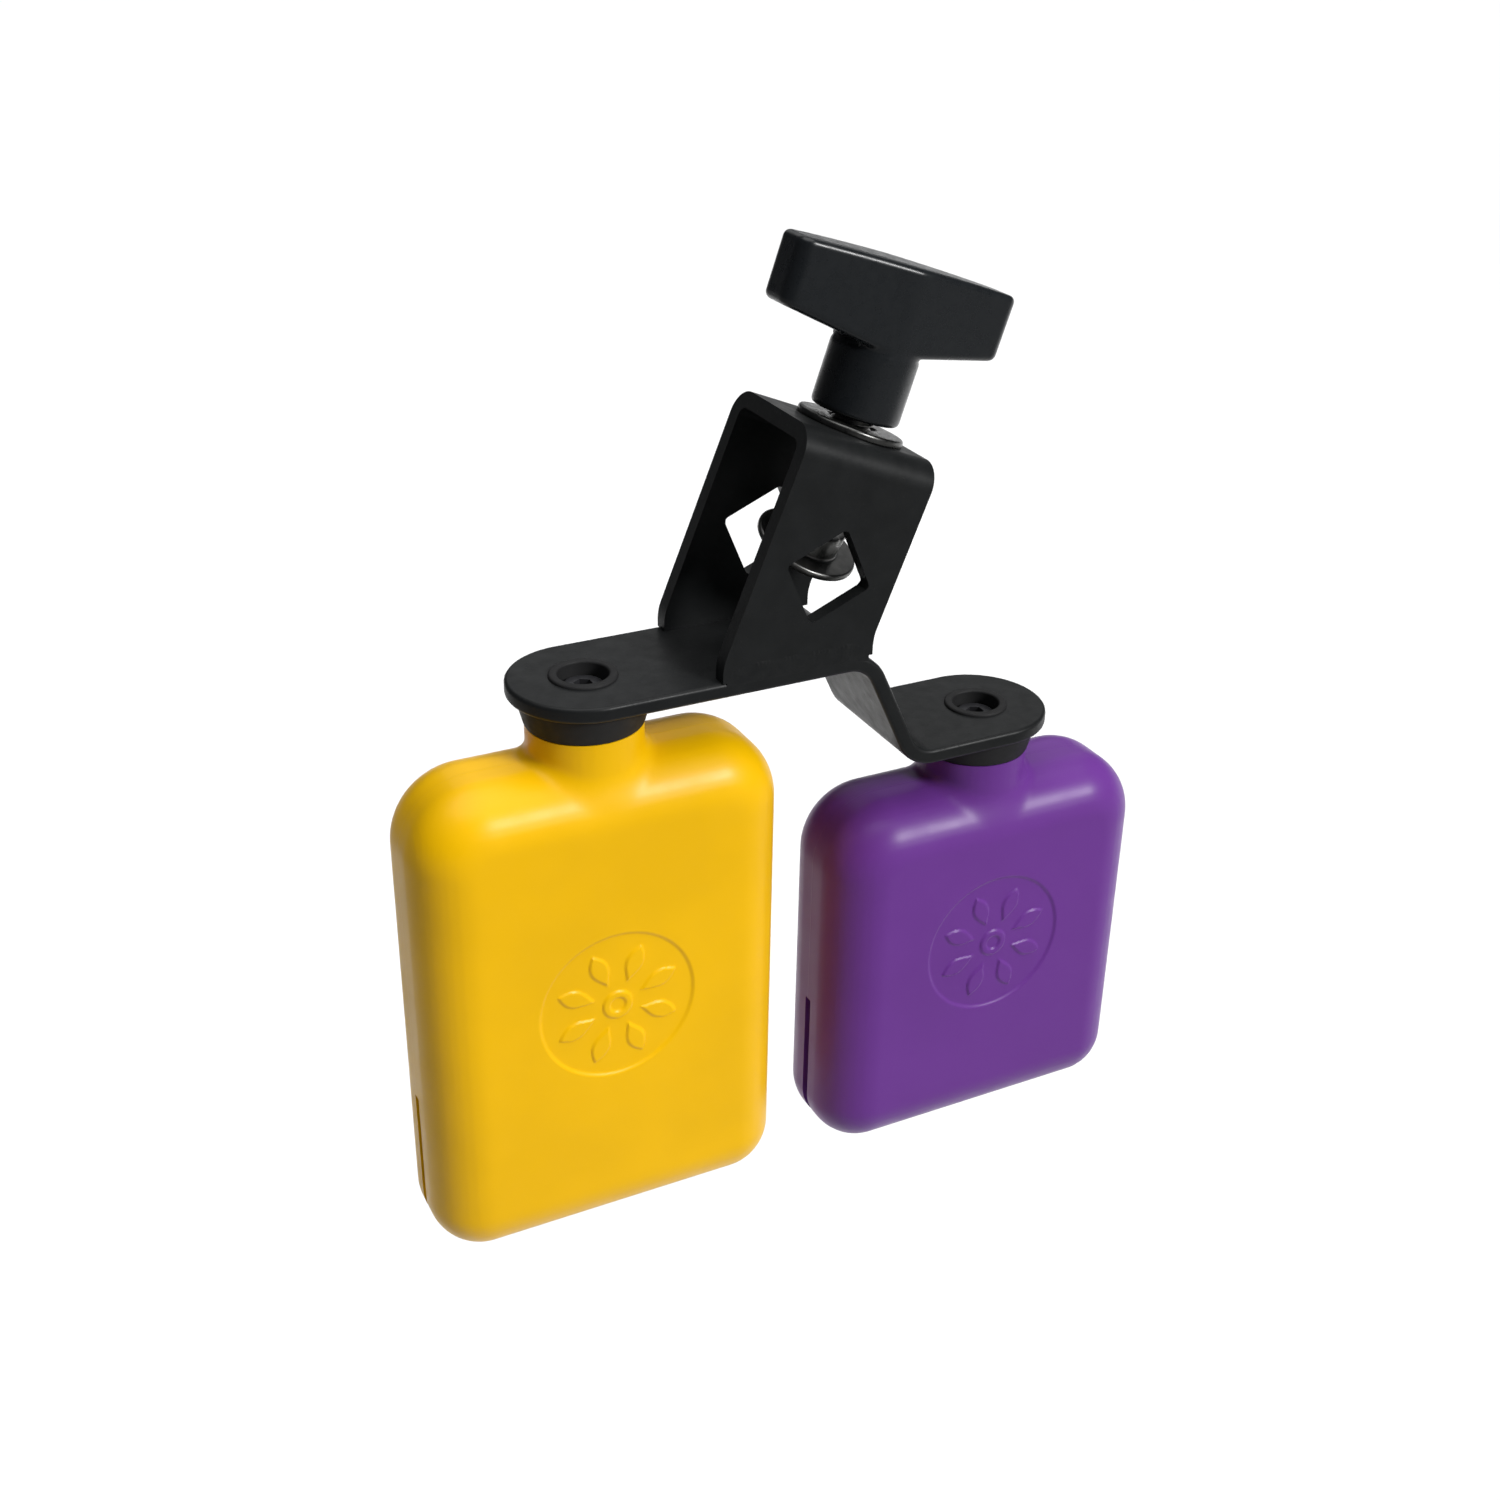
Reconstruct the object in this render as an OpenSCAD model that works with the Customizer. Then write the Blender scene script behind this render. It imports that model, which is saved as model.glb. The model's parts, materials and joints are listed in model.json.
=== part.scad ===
// Clamp-on pair of hollow plastic percussion blocks.
//
// A stepped steel strip carries two blocks, the low one on the left and the
// high one on the lower right step. A leaning U-shaped strap is welded on the
// strip. A rod passes through the strap's two diamond holes, and a knob screw
// with a swivelling foot presses it into the lower corner of the diamonds.
//
// Millimetres. +X runs along the strip to the high block, +Y to the back and
// +Z up. The origin is midway between the two diamond holes, at their centre.

/* [Strip] */
// Width of the strip and of the clamp strap
strip_w = 28; // [24:1:32]
// Thickness of the strip and of the clamp strap
plate_t = 3; // [2.5:0.1:3.5]
// Distance between the two block axes along the strip
block_gap = 84; // [80:1:92]
// Height of the step from the upper to the lower platform
step_drop = 23; // [20:1:26]
// Slope of the step below horizontal
step_angle = 65; // [55:1:70]
// Distance from the low block's axis to the top of the step
step_x = 50.9; // [48:0.1:54]
// Radius of the hole that each grommet is pulled through
grommet_hole_r = 5.3; // [5:0.1:5.6]

/* [Clamp] */
// Lean of the clamp strap
lean = 22; // [16:1:26]
// Height of the diamond centre above the strip, along the lean
rod_s = 31; // [29:0.5:33]
// Distance of the strap's centre line from the low block's axis
strap_u = 32; // [30:0.5:34]
// Height of the strap's top face above the diamond centre
strap_top = 24; // [23:0.5:26]
// Outer radius of the strap's two bends
strap_bend_r = 5; // [4.5:0.1:6]
// Height of the upright foot of each leg above the strip
ear_h = 3.3; // [2:0.1:5]
// Side of each diamond hole
diamond_side = 12.9; // [12.7:0.1:13.5]
// Radius of the diamonds' corners
diamond_corner_r = 1; // [0.5:0.1:1.5]

/* [Screw and knob] */
// Lean of the screw, which sits with play in its bush
screw_lean = 18.7; // [18.5:0.1:22]
// Offset of the screw's axis from the diamond centre, across the lean
screw_u = 3.4; // [0:0.1:4]
// Outer radius of the screw thread
screw_r = 4; // [3:0.5:5]
// Length of the knob from wing tip to wing tip
knob_l = 44.6; // [40:0.1:50]
// Depth of the knob's wings at the middle
knob_d = 12; // [11:0.5:15]
// Depth of the knob's wings at the tips
knob_tip_d = 9; // [8:0.5:10]
// Height of the wing tips
knob_tip_h = 12.2; // [9:0.1:13]
// Radius of the knob's boss
boss_r = 8.2; // [7.5:0.1:9]
// Radius of the pressure foot
foot_r = 9.8; // [8:0.1:10]
// Height of the foot's ball centre above the diamond centre
ball_s = 5; // [4:0.1:7]
// Tilt of the foot where it hangs at rest
foot_tilt = 20; // [0:1:21]

/* [Blocks] */
// Half of the blocks' width
block_hw = 36; // [34:0.5:37]
// Half of the blocks' depth
block_hd = 13.25; // [12.5:0.25:14]
// Height of the low block's body
low_h = 100.5; // [90:0.5:110]
// Height of the high block's body
high_h = 80.3; // [70:0.5:90]
// Radius of the blocks' long edges
edge_r = 10.5; // [9:0.5:11]
// Radius of the blocks' top corners
top_corner_r = 14; // [12:0.5:18]
// Radius of the blocks' bottom corners
bottom_corner_r = 10.5; // [10.5:0.5:14]
// Wall thickness of the blocks
wall = 2.8; // [2.4:0.1:3.2]
// Width of the sound slot
slot_w = 2; // [1.5:0.1:2.5]
// Height that the sound slot runs up the side
slot_h = 34; // [20:1:40]
// Length that the sound slot runs along the bottom
slot_run = 22; // [12:1:30]
// Gap from the strip's underside to the top of a block's body
neck_gap = 11.6; // [10:0.1:14]
// Radius of a block's neck
neck_r = 10.3; // [9.5:0.1:10.5]
// Radius at the foot of the neck, where it meets the shoulders
neck_base_r = 12.2; // [11:0.1:12.5]

/* [Grommet] */
// Radius of the grommet's collar under the strip
collar_r = 11.5; // [11:0.1:12]
// Height of the grommet's collar
collar_h = 5.7; // [5:0.1:6.5]
// Radius of the grommet's lip above the strip
lip_r = 6; // [5.8:0.1:6.4]
// Height of the grommet's lip
lip_h = 0.7; // [0.5:0.1:1]
// Radius of the recess in the grommet
recess_r = 4.6; // [4.5:0.1:4.7]
// Depth of the recess below the strip's top
recess_z = 4.6; // [4.2:0.1:5]
// Radius of the block screw's thread
block_screw_r = 2.5; // [2:0.5:2.5]

/* [Hidden] */
$fn = 64;
hull_fn = 32;
eps = 0.05;
run_fit = 0.05;

rod_x = strap_u * cos(lean) + rod_s * sin(lean);
rod_z = rod_s * cos(lean) - strap_u * sin(lean);
low_x = -rod_x;
high_x = block_gap - rod_x;
top_z = -rod_z;
low_top_z = top_z;
high_top_z = top_z - step_drop;

half_w = strip_w / 2;
half_t = plate_t / 2;
step_run = step_drop / tan(step_angle);
bend_r = 5;
bend_tan = bend_r * tan(step_angle / 2);
arc_steps = 10;

leg_in_y = half_w - plate_t;
strap_in = strap_top - plate_t;
nut_flange_r = 10;
nut_flange_t = 1.4;
nut_barrel_r = 6;
nut_tail = 1.6;
boss_low = strap_top + nut_flange_t + 1.2;
wing_low = 38.6;
knob_top = wing_low + 3.6 + knob_tip_h;
play = lean - screw_lean;
nut_u = screw_u * cos(play) - strap_top * sin(play);
bush_fit = 0.27;
screw_head_h = 10;

ball_r = 3;
seat_r = 4.3;
cup_r = 5.6;
ball_neck_r = 2.1;
foot_t = 1.4;
foot_drop = 3.2;

collar_low_r = 10.7;
washer_t = 0.8;
washer_r = 4.4;
head_r = 4;
head_h = 2.2;
spacer_r = 3.4;
insert_r = 3.6;
insert_l = 10;
block_screw_l = 18;
bore_l = 14;

// Points of an arc about c, from angle a to angle b.
function arc(c, r, a, b, n = arc_steps) =
    [for (i = [0:n]) c + r * [cos(a + (b - a) * i / n), sin(a + (b - a) * i / n)]];

// One side of the stepped strip, at distance off from its centre line.
function step_path(off) =
    let (turn = tan(step_angle / 2), x1 = step_x, x2 = step_x + step_run)
    concat(
        [[-half_w - 1, -half_t + off]],
        arc([x1 - bend_tan, -half_t - bend_r], bend_r + off, 90, 90 - step_angle),
        arc([x2 + bend_tan, -half_t - step_drop + bend_r], bend_r - off,
            270 - step_angle, 270),
        [[block_gap + half_w + 1, -half_t - step_drop + off]]);

function reversed(p) = [for (i = [len(p) - 1:-1:0]) p[i]];

// Places the children in the strip's frame: the low block's axis on the strip.
module on_strip(x = 0, z = 0) {
    translate([low_x + x, 0, top_z + z]) children();
}

// Places the children in the clamp's leaning frame, about the diamond centre.
module leaning(u = 0, s = 0) {
    rotate([0, lean, 0]) translate([u, 0, s]) children();
}

// Places the children on the screw's own axis, at height s above the centre.
module on_screw(s = 0) {
    rotate([0, screw_lean, 0]) translate([screw_u, 0, s]) children();
}

module ring(r_out, r_in, h) {
    difference() {
        cylinder(r = r_out, h = h);
        translate([0, 0, -1]) cylinder(r = r_in, h = h + 2);
    }
}

// Strip seen from the front, extruded across its width.
module strip_side() {
    rotate([90, 0, 0]) linear_extrude(strip_w + 2, center = true)
        polygon(concat(step_path(half_t), reversed(step_path(-half_t))));
}

// Strip seen from above, with its two round ends.
module strip_plan() {
    translate([0, 0, -step_drop - plate_t - 1]) linear_extrude(step_drop + plate_t + 2)
        union() {
            circle(r = half_w);
            translate([0, -half_w]) square([block_gap, strip_w]);
            translate([block_gap, 0]) circle(r = half_w);
        }
}

module bracket_strip() {
    color([0.09, 0.09, 0.1]) on_strip() difference() {
        intersection() {
            strip_side();
            strip_plan();
        }
        translate([0, 0, -plate_t - 1]) cylinder(r = grommet_hole_r, h = plate_t + 2);
        translate([block_gap, 0, -step_drop - plate_t - 1])
            cylinder(r = grommet_hole_r, h = plate_t + 2);
    }
}

// Cross-section of the U strap, open at the bottom.
module strap_section() {
    bend_y = half_w - strap_bend_r;
    bend_s = strap_top - strap_bend_r;
    in_r = strap_bend_r - plate_t;
    low = -rod_s - strip_w;
    outer = concat([[half_w, low]], arc([bend_y, bend_s], strap_bend_r, 0, 90),
                   arc([-bend_y, bend_s], strap_bend_r, 90, 180), [[-half_w, low]]);
    inner = concat([[leg_in_y, low]], arc([bend_y, bend_s], in_r, 0, 90),
                   arc([-bend_y, bend_s], in_r, 90, 180), [[-leg_in_y, low]]);
    polygon(concat(outer, reversed(inner)));
}

// Square hole standing on its corner, with slightly round corners.
module diamond_bar(length) {
    flat = diamond_side - 2 * diamond_corner_r;
    rotate([90, 0, 0]) linear_extrude(length, center = true) rotate(45) union() {
        square([flat, diamond_side], center = true);
        square([diamond_side, flat], center = true);
        for (x = [-1, 1], y = [-1, 1])
            translate([x, y] * flat / 2) circle(r = diamond_corner_r, $fn = 24);
    }
}

// Height, above the diamond centre, at which the legs start to lean.
kink_z = top_z + ear_h;
leg_w = strip_w / cos(lean);
leg_left = -rod_x + (strap_u - half_w) / cos(lean) + ear_h * tan(lean);

// Strap seen from the front: upright ears at the foot, leaning legs above.
module strap_outline() {
    rise = strap_top + strip_w;
    shift = [sin(lean), cos(lean)] * rise;
    rotate([90, 0, 0]) linear_extrude(strip_w + 2, center = true) polygon([
        [leg_left, top_z], [leg_left, kink_z], [leg_left, kink_z] + shift,
        [leg_left + leg_w, kink_z] + shift, [leg_left + leg_w, kink_z],
        [leg_left + leg_w, top_z]]);
}

module clamp_strap() {
    color([0.1, 0.1, 0.11]) difference() {
        intersection() {
            strap_outline();
            leaning() rotate([90, 0, 90])
                linear_extrude(3 * strip_w, center = true) strap_section();
        }
        leaning() diamond_bar(strip_w + 4);
        leaning(nut_u, strap_in - 1) cylinder(r = nut_barrel_r, h = plate_t + 2);
    }
}

// Low bead along the outside of a leg, over its joint with the strip.
module weld_bead(side) {
    bead_h = 4.6;
    bulge = 0.4;
    bead_r = (bead_h * bead_h / 4 + bulge * bulge) / (2 * bulge);
    reach = asin(bead_h / 2 / bead_r);
    color([0.12, 0.12, 0.13]) translate([leg_left + 0.75, 0, top_z + 1.2])
        mirror([0, side > 0 ? 0 : 1, 0]) rotate([90, 0, 90]) linear_extrude(leg_w - 1.5)
            polygon(arc([half_w + bulge - bead_r, 0], bead_r, -reach, reach));
}

module front_weld_bead() { weld_bead(-1); }
module back_weld_bead() { weld_bead(1); }

// Flanged threaded bush pressed through the strap's top.
module clamp_nut() {
    color([0.62, 0.62, 0.6]) leaning(nut_u, strap_in - nut_tail) difference() {
        union() {
            cylinder(r = nut_barrel_r, h = nut_tail + plate_t);
            translate([0, 0, nut_tail + plate_t]) cylinder(r = nut_flange_r, h = nut_flange_t);
        }
        translate([0, 0, -1]) cylinder(r = screw_r + bush_fit, h = 12);
    }
}

// Threaded rod with a ball at its lower end, moulded into the knob at its top.
module clamp_screw() {
    neck_z = ball_r * 0.9;
    shank_z = ball_r + 3.4;
    color([0.66, 0.66, 0.64]) on_screw(ball_s) union() {
        sphere(r = ball_r);
        cylinder(r = ball_neck_r, h = shank_z + 1);
        translate([0, 0, shank_z]) cylinder(r = screw_r, h = boss_low + screw_head_h - ball_s - shank_z);
    }
}

// Outline of the knob's wings from above.
module knob_plan() {
    tip_r = 3;
    tip_x = knob_l / 2 - tip_r;
    tip_y = knob_tip_d / 2 - tip_r;
    linear_extrude(60) union() {
        polygon([[-tip_x, -knob_tip_d / 2], [0, -knob_d / 2], [tip_x, -knob_tip_d / 2],
                 [tip_x, knob_tip_d / 2], [0, knob_d / 2], [-tip_x, knob_tip_d / 2]]);
        for (x = [-1, 1]) {
            translate([x * (tip_x + tip_r / 2), 0]) square([tip_r, 2 * tip_y], center = true);
            for (y = [-1, 1]) translate([x * tip_x, y * tip_y]) circle(r = tip_r);
        }
    }
}

// Side view of the knob's wings: arched below, slightly crowned on top.
module knob_side() {
    half = knob_l / 2;
    tip_low = knob_top - knob_tip_h;
    crown = 0.8;
    edge = 1.5;
    rotate([90, 0, 0]) linear_extrude(30, center = true)
        polygon(concat(
            [[-half + edge, tip_low], [-boss_r - 2, wing_low + 0.6], [-boss_r, wing_low]],
            [[boss_r, wing_low], [boss_r + 2, wing_low + 0.6], [half - edge, tip_low]],
            arc([half - edge, tip_low + edge], edge, -90, 0, 4),
            arc([half - edge, knob_top - crown - edge], edge, 0, 80, 4),
            [[0, knob_top]],
            arc([-half + edge, knob_top - crown - edge], edge, 100, 180, 4),
            arc([-half + edge, tip_low + edge], edge, 180, 270, 4)));
}

module knob() {
    foot_edge = 1.2;
    color([0.05, 0.05, 0.055]) on_screw() difference() {
        union() {
            intersection() {
                knob_plan();
                knob_side();
            }
            translate([0, 0, boss_low + foot_edge])
                cylinder(r = boss_r, h = wing_low + 4 - boss_low - foot_edge);
            translate([0, 0, boss_low])
                cylinder(r1 = boss_r - foot_edge, r2 = boss_r, h = foot_edge);
        }
        translate([0, 0, boss_low - 1]) cylinder(r = screw_r, h = screw_head_h + 1);
    }
}

// Nylon liner between the screw's ball and the foot's cup.
module ball_seat() {
    color([0.85, 0.84, 0.8]) on_screw(ball_s) difference() {
        sphere(r = seat_r);
        sphere(r = ball_r + run_fit);
        cylinder(r = ball_neck_r + 1.1, h = 10);
        translate([-10, -10, 1.9]) cube([20, 20, 10]);
    }
}

// Places the children in the foot's hanging pose, about the ball's centre.
module hanging_foot() {
    on_screw(ball_s) rotate([foot_tilt, 0, 0]) children();
}

module pressure_foot() {
    base = -foot_drop - foot_t;
    color([0.55, 0.55, 0.56]) hanging_foot() difference() {
        union() {
            translate([0, 0, base]) cylinder(r = foot_r, h = foot_t);
            translate([0, 0, base]) cylinder(r = cup_r, h = -base);
        }
        sphere(r = seat_r + run_fit);
        cylinder(r = seat_r + run_fit, h = 10);
    }
}

// Crimped ring that keeps the ball seat in the foot's cup.
module foot_retainer() {
    color([0.5, 0.5, 0.5]) hanging_foot() difference() {
        cylinder(r = cup_r, h = 1.5);
        sphere(r = seat_r + run_fit);
    }
}

// Rubber grommet: lip above the strip, waist in its hole, collar below.
module grommet(x, z) {
    waist_r = grommet_hole_r - run_fit;
    color([0.07, 0.07, 0.07]) on_strip(x, z) difference() {
        rotate_extrude() polygon([
            [0, lip_h], [lip_r - 0.4, lip_h], [lip_r, lip_h - 0.3], [lip_r, 0],
            [waist_r, 0], [waist_r, -plate_t], [collar_r, -plate_t],
            [collar_low_r, -plate_t - collar_h], [0, -plate_t - collar_h]]);
        translate([0, 0, -recess_z]) cylinder(r = recess_r, h = 10);
        translate([0, 0, -20]) cylinder(r = spacer_r + run_fit, h = 30);
    }
}

// Solid block with round edges; its top face is at z = 0.
module rounded_block(hw, hd, h, er, rt, rb) {
    corners = [[hw - rt, -rt, rt], [hw - rb, -h + rb, rb]];
    hull() for (c = corners, sx = [-1, 1], sy = [-1, 1])
        translate([sx * c[0], sy * (hd - er), c[1]]) rotate([90, 0, 0])
            rotate_extrude($fn = hull_fn) intersection() {
                translate([c[2] - er, 0]) circle(r = er, $fn = hull_fn);
                translate([0, -er]) square([c[2], 2 * er]);
            }
}

// Neck on top of a block, flaring into its shoulders; the body's top is z = 0.
module neck(h) {
    flare = neck_base_r - neck_r;
    rotate_extrude() polygon(concat(
        [[0, -8], [neck_base_r, -8], [neck_base_r, 0]],
        arc([neck_r + flare, flare * 1.4], flare, 270, 180, 6),
        [[neck_r, h], [0, h]]));
}

module block_shell(x, z, h) {
    neck_h = neck_gap - collar_h;
    cavity_r = edge_r - wall;
    on_strip(x, z - plate_t - neck_gap) difference() {
        union() {
            rounded_block(block_hw, block_hd, h, edge_r, top_corner_r, bottom_corner_r);
            neck(neck_h);
        }
        translate([0, 0, -wall - 6]) rounded_block(block_hw - wall, block_hd - wall,
            h - 2 * wall - 6, cavity_r, top_corner_r - wall, bottom_corner_r - wall);
        translate([0, 0, neck_h - bore_l]) cylinder(r = insert_r, h = bore_l + 1);
        translate([-block_hw - 1, -slot_w / 2, -h - 1]) cube([wall + 4, slot_w, slot_h + 1]);
        translate([-block_hw - 1, -slot_w / 2, -h - 1]) cube([slot_run + 1, slot_w, wall + 4]);
    }
}

// Threaded bush in a block's neck.
module neck_insert(x, z) {
    color([0.78, 0.62, 0.3]) on_strip(x, z - plate_t - collar_h - insert_l)
        ring(insert_r, block_screw_r, insert_l);
}

// Steel sleeve that stops the screw from crushing the grommet.
module spacer(x, z) {
    height = plate_t + collar_h - recess_z;
    color([0.7, 0.7, 0.7]) on_strip(x, z - plate_t - collar_h)
        ring(spacer_r, block_screw_r + run_fit, height);
}

module screw_washer(x, z) {
    color([0.7, 0.7, 0.7]) on_strip(x, z - recess_z)
        ring(washer_r, block_screw_r + run_fit, washer_t);
}

// Pan-head screw that holds a block up through its grommet.
module block_screw(x, z) {
    socket_r = 1.8;
    color([0.16, 0.16, 0.17]) on_strip(x, z - recess_z + washer_t) difference() {
        union() {
            cylinder(r = head_r, h = head_h);
            translate([0, 0, -block_screw_l]) cylinder(r = block_screw_r, h = block_screw_l + 0.5);
        }
        translate([0, 0, head_h - 1.4]) cylinder(r = socket_r, h = 2, $fn = 6);
    }
}

module low_grommet() { grommet(0, 0); }
module low_block_shell() { color([0.93, 0.72, 0.08]) block_shell(0, 0, low_h); }
module low_neck_insert() { neck_insert(0, 0); }
module low_spacer() { spacer(0, 0); }
module low_washer() { screw_washer(0, 0); }
module low_block_screw() { block_screw(0, 0); }
module high_grommet() { grommet(block_gap, -step_drop); }
module high_block_shell() { color([0.4, 0.2, 0.6]) block_shell(block_gap, -step_drop, high_h); }
module high_neck_insert() { neck_insert(block_gap, -step_drop); }
module high_spacer() { spacer(block_gap, -step_drop); }
module high_washer() { screw_washer(block_gap, -step_drop); }
module high_block_screw() { block_screw(block_gap, -step_drop); }

bracket_strip();
clamp_strap();
front_weld_bead();
back_weld_bead();
clamp_nut();
ball_seat();
clamp_screw();
knob();
pressure_foot();
foot_retainer();
low_grommet();
low_block_shell();
low_neck_insert();
low_spacer();
low_washer();
low_block_screw();
high_grommet();
high_block_shell();
high_neck_insert();
high_spacer();
high_washer();
high_block_screw();
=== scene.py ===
"""Clamp-on double percussion block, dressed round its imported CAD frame.

Every piece is modelled in metres in the frame's own coordinates: +X runs along the strip
from the low block to the high one, +Y to the back and +Z up, from the middle of the clamp.
"""

import json
import math
import random

import bmesh
import bpy
import numpy as np
from bpy.props import FloatProperty, FloatVectorProperty, IntProperty, PointerProperty
from mathutils import Matrix, Vector


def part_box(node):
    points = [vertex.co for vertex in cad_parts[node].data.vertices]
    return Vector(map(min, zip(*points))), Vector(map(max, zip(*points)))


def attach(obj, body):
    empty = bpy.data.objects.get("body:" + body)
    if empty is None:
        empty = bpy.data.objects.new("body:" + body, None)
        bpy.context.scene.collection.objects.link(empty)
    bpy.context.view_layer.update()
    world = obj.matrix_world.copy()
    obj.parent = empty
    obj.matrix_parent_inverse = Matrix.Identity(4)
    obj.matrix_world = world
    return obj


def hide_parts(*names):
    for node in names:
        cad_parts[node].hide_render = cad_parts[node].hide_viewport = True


bl_info = {
    "name": "Clamp-on percussion blocks",
    "version": (1, 0, 0),
    "blender": (4, 5, 0),
    "location": "3D View > Sidebar > Blocks",
    "description": "Builds the pieces and finishes of a clamp-on pair of percussion blocks",
    "category": "Object",
}

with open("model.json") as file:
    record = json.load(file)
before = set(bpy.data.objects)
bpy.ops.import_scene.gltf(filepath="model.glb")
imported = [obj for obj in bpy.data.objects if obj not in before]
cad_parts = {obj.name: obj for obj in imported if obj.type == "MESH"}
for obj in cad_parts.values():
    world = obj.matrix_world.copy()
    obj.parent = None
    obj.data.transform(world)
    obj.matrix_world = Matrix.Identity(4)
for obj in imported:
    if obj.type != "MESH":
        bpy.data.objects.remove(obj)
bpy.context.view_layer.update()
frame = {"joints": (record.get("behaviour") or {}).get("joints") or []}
JOINTS = {joint["name"]: joint for joint in frame["joints"]}
MM = 0.001
UPRIGHT = Vector((0.0, 0.0, 1.0))

SCREW_AXIS = Vector(JOINTS["clamp_travel"]["axis"]).normalized()
BALL = Vector(JOINTS["knob_turn"]["pos_m"])
SCREW_LEAN = math.atan2(SCREW_AXIS.x, SCREW_AXIS.z)
LOW_AXIS = Vector(JOINTS["low_block_swivel"]["pos_m"])
HIGH_AXIS = Vector(JOINTS["high_block_swivel"]["pos_m"])
BLOCK_AXES = (("low", LOW_AXIS), ("high", HIGH_AXIS))
SCREW_TURN = Matrix.Rotation(SCREW_LEAN, 4, "Y")
FOOT_TILT = math.radians(20)  # how far the foot hangs tipped at rest

# The view: a lens in millimetres, a distance in metres and turns in degrees
LENS = 45.55
LOOKED_AT = Vector((-0.0080, -0.0003, -0.0390))
VIEW_DISTANCE = 0.3592
VIEW_HEADING = -27.1455
VIEW_RISE = 27.6656
VIEW_ROLL = 1.011
FLOOR_HEIGHT = -0.6

# Sizes that pieces share, in millimetres
NUT_BARREL = 6.0  # radius of the bush's barrel and of its hole in the strap
SCREW_PITCH = 1.25
SLEEVE_HEAD = -4.6  # where the block screw's washer sits, from the strip's top


def length(name, text, millimetres):
    """A length setting, given in millimetres."""
    return FloatProperty(name=name, description=text, default=millimetres * MM, unit="LENGTH")


def angle(name, text, degrees):
    """An angle setting, given in degrees."""
    return FloatProperty(name=name, description=text, default=math.radians(degrees), subtype="ANGLE")


def colour(name, text, value):
    """A linear colour setting."""
    return FloatVectorProperty(
        name=name, description=text, default=value, size=3, min=0.0, max=1.0, subtype="COLOR"
    )


# ------------------------------------------------------------------ settings


class StripSettings(bpy.types.PropertyGroup):
    """Sizes of the stepped steel strip."""

    width: length("Width", "Width of the strip and the strap", 28)
    thickness: length("Thickness", "Thickness of the steel", 3)
    gap: length("Block distance", "Distance between the two block axes", 84)
    drop: length("Drop", "Height of the step", 23)
    step: length("Step position", "Distance from the low axis to the top of the step", 50.9)
    slope: angle("Slope", "Slope of the step below horizontal", 65)
    bend: length("Bend radius", "Radius of the bends at mid-thickness", 7)
    hole: length("Hole radius", "Radius of the two grommet holes", 5.3)
    edge: length("Edge rounding", "Radius of the coated edges", 0.8)


class StrapSettings(bpy.types.PropertyGroup):
    """Sizes of the welded clamp strap."""

    lean: angle("Lean", "Lean of the strap from vertical", 22)
    top: length("Top", "Height of the strap's top face above the diamonds", 24)
    bend: length("Bend radius", "Radius of the strap's bends at mid-thickness", 3.5)
    ear: length("Ear height", "Height of the upright foot of each leg", 3.3)
    offset: length("Offset", "Distance of the strap's centre line from the low axis", 32)
    diamond: length("Diamond side", "Side of the diamond holes", 12.9)
    corner: length("Diamond corner", "Radius of the diamonds' corners", 1)
    kink: length("Kink rounding", "How far the legs' corners are rounded off", 1.6)
    edge: length("Edge rounding", "Radius of the coated edges", 0.6)
    bead: length("Bead bulge", "How far the weld beads stand out", 0.14)


class KnobSettings(bpy.types.PropertyGroup):
    """Sizes of the winged knob, from the diamond centre along the screw."""

    half: length("Half length", "Half of the length over both wings", 23.3)
    low: length("Boss foot", "Height of the boss's lower end", 26.6)
    boss: length("Boss radius", "Radius of the boss", 8.2)
    wing: length("Wing foot", "Height of the wings' lower edge at the middle", 38.6)
    tip: length("Tip foot", "Height of the wings' lower edge at the tips", 42.2)
    top: length("Top", "Height of the top at the middle", 54.4)
    crown: length("Crown", "How much lower the top is at the tips", 0.5)
    tip_depth: length("Tip depth", "Half of the wings' depth at the tips", 4.4)
    ridge_low: length("Ridge foot", "Half of the depth at the ridge's foot", 8.2)
    ridge_top: length("Ridge top", "Half of the depth at the ridge's top", 7.6)
    tip_round: length("Tip rounding", "Radius of the tips seen from above", 2.4)
    edge: length("Edge rounding", "Radius of the edges", 1.2)
    fillet: length("Fillet", "Radius between the boss and the wings", 1.1)


class BlockSettings(bpy.types.PropertyGroup):
    """Sizes of the hollow blocks."""

    half_width: length("Half width", "Half of the blocks' width", 36)
    half_depth: length("Half depth", "Half of the blocks' depth", 13.25)
    low_height: length("Low height", "Height of the low block's body", 100.5)
    high_height: length("High height", "Height of the high block's body", 80.3)
    edge: length("Edge radius", "Radius of the long edges", 10.5)
    top_corner: length("Top corners", "Radius of the top corners", 14)
    low_corner: length("Bottom corners", "Radius of the bottom corners", 10.5)
    wall: length("Wall", "Thickness of the walls", 2.8)
    neck: length("Neck radius", "Radius of the neck", 10.8)
    neck_height: length("Neck height", "Height of the neck above the body", 5.9)
    fillet: length("Neck fillet", "Radius between the neck and the shoulders", 2.4)
    bore: length("Bore radius", "Radius of the bore for the threaded insert", 3.6)
    bore_depth: length("Bore depth", "Depth of that bore", 14)
    slot: length("Slot width", "Width of the sound slot", 2)
    slot_up: length("Slot height", "Height of the sound slot up the side", 34)
    slot_along: length("Slot run", "Length of the sound slot along the bottom", 22)
    cell: length("Cell", "Size of the surface's cells", 0.75)
    low_mark: length("Low mark", "Depth of the mark's centre below the low body's top", 47.9)
    high_mark: length("High mark", "Depth of the mark's centre below the high body's top", 34.8)
    mark: length("Mark radius", "Radius of the recessed round mark", 15.75)
    mark_depth: length("Mark depth", "Depth of the recessed round mark", 0.4)
    petals: IntProperty(name="Petals", description="Raised petals in the mark", default=8, min=3)


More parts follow.
